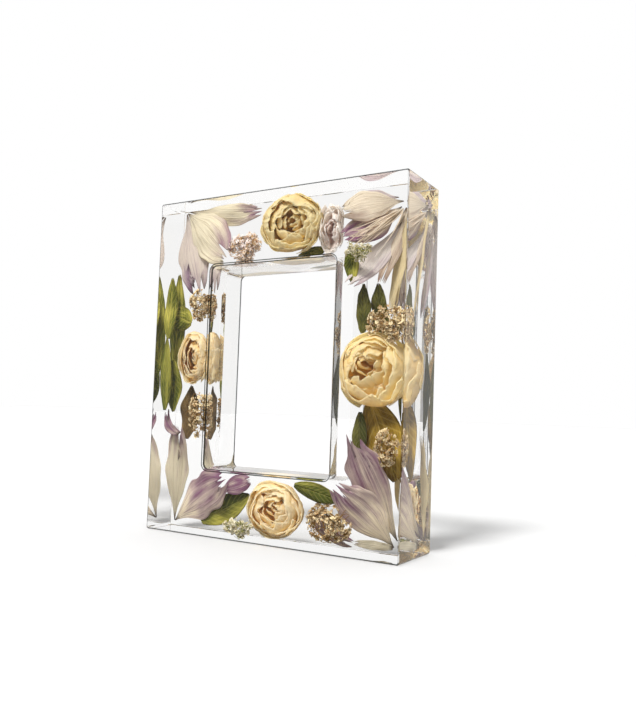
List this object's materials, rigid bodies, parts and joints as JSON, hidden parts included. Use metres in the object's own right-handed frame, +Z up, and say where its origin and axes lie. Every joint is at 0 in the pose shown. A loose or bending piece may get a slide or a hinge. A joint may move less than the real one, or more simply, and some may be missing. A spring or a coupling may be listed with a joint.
{
  "type": "clear resin flower frame",
  "caption": "Thick clear cast-resin picture frame with a rectangular opening and a picture seat behind it; dried roses, petals, leaves and florets are sealed in its bars.",
  "frame": {"origin": "centre of the base's rectangle, on the surface it stands on", "axes": "+Z up the frame, +X to the right seen from the front, +Y from the front face to the back"},
  "size_m": [0.168, 0.04, 0.2],
  "materials": {
    "resin": "polished",
    "rose_cream": "matte",
    "rose_gold": "matte",
    "bloom_pink": "matte",
    "petal_ivory": "matte",
    "petal_mauve": "matte",
    "petal_lilac": "matte",
    "petal_tan": "matte",
    "leaf_olive": "matte",
    "leaf_green": "matte",
    "leaf_dark": "matte",
    "floret_straw": "matte",
    "floret_pale": "matte"
  },
  "bodies": {
    "root": {"resin_front": "resin", "resin_back": "resin", "rose_top": "rose_cream", "rose_left": "rose_cream", "rose_right": "rose_gold", "rose_bottom": "rose_cream", "pale_bloom": "bloom_pink", "petal_tl_broad": "petal_ivory", "petal_tl_long": "petal_ivory", "petal_tl_low": "petal_lilac", "petal_tr_mauve": "petal_mauve", "petal_tr_tan": "petal_tan", "petal_tr_lilac": "petal_lilac", "petal_tr_back": "petal_lilac", "petal_tr_brown": "petal_tan", "petal_tr_yellow": "petal_ivory", "petal_tr_side": "petal_mauve", "petal_bl_tall": "petal_ivory", "petal_bl_broad": "petal_mauve", "petal_bl_hook": "petal_mauve", "petal_bl_folded": "petal_mauve", "petal_br_mauve": "petal_mauve", "petal_br_torn": "petal_lilac", "petal_br_side": "petal_ivory", "petal_br_thin": "petal_ivory", "petal_br_low": "petal_mauve", "leaf_left_upper": "leaf_olive", "leaf_left_yellow": "leaf_olive", "leaf_left_lower": "leaf_green", "leaf_left_broad": "leaf_olive", "leaf_left_side": "leaf_green", "leaf_left_dark": "leaf_dark", "leaf_bottom_left": "leaf_green", "leaf_bottom_right": "leaf_green", "leaf_right_dark": "leaf_dark", "leaf_right_mid": "leaf_dark", "leaf_right_corner": "leaf_green", "leaf_right_olive": "leaf_olive", "leaf_right_inner": "leaf_dark", "leaf_right_back": "leaf_dark", "leaf_top": "leaf_green", "sprig_left_upper": "floret_straw", "sprig_left_lower": "floret_straw", "sprig_bottom_pale": "floret_pale", "sprig_bottom_brown": "floret_straw", "sprig_right_upper": "floret_straw", "sprig_right_back": "floret_straw", "sprig_right_lower": "floret_pale", "sprig_top_left": "floret_straw", "sprig_top_right": "floret_pale"}
  },
  "joints": []
}
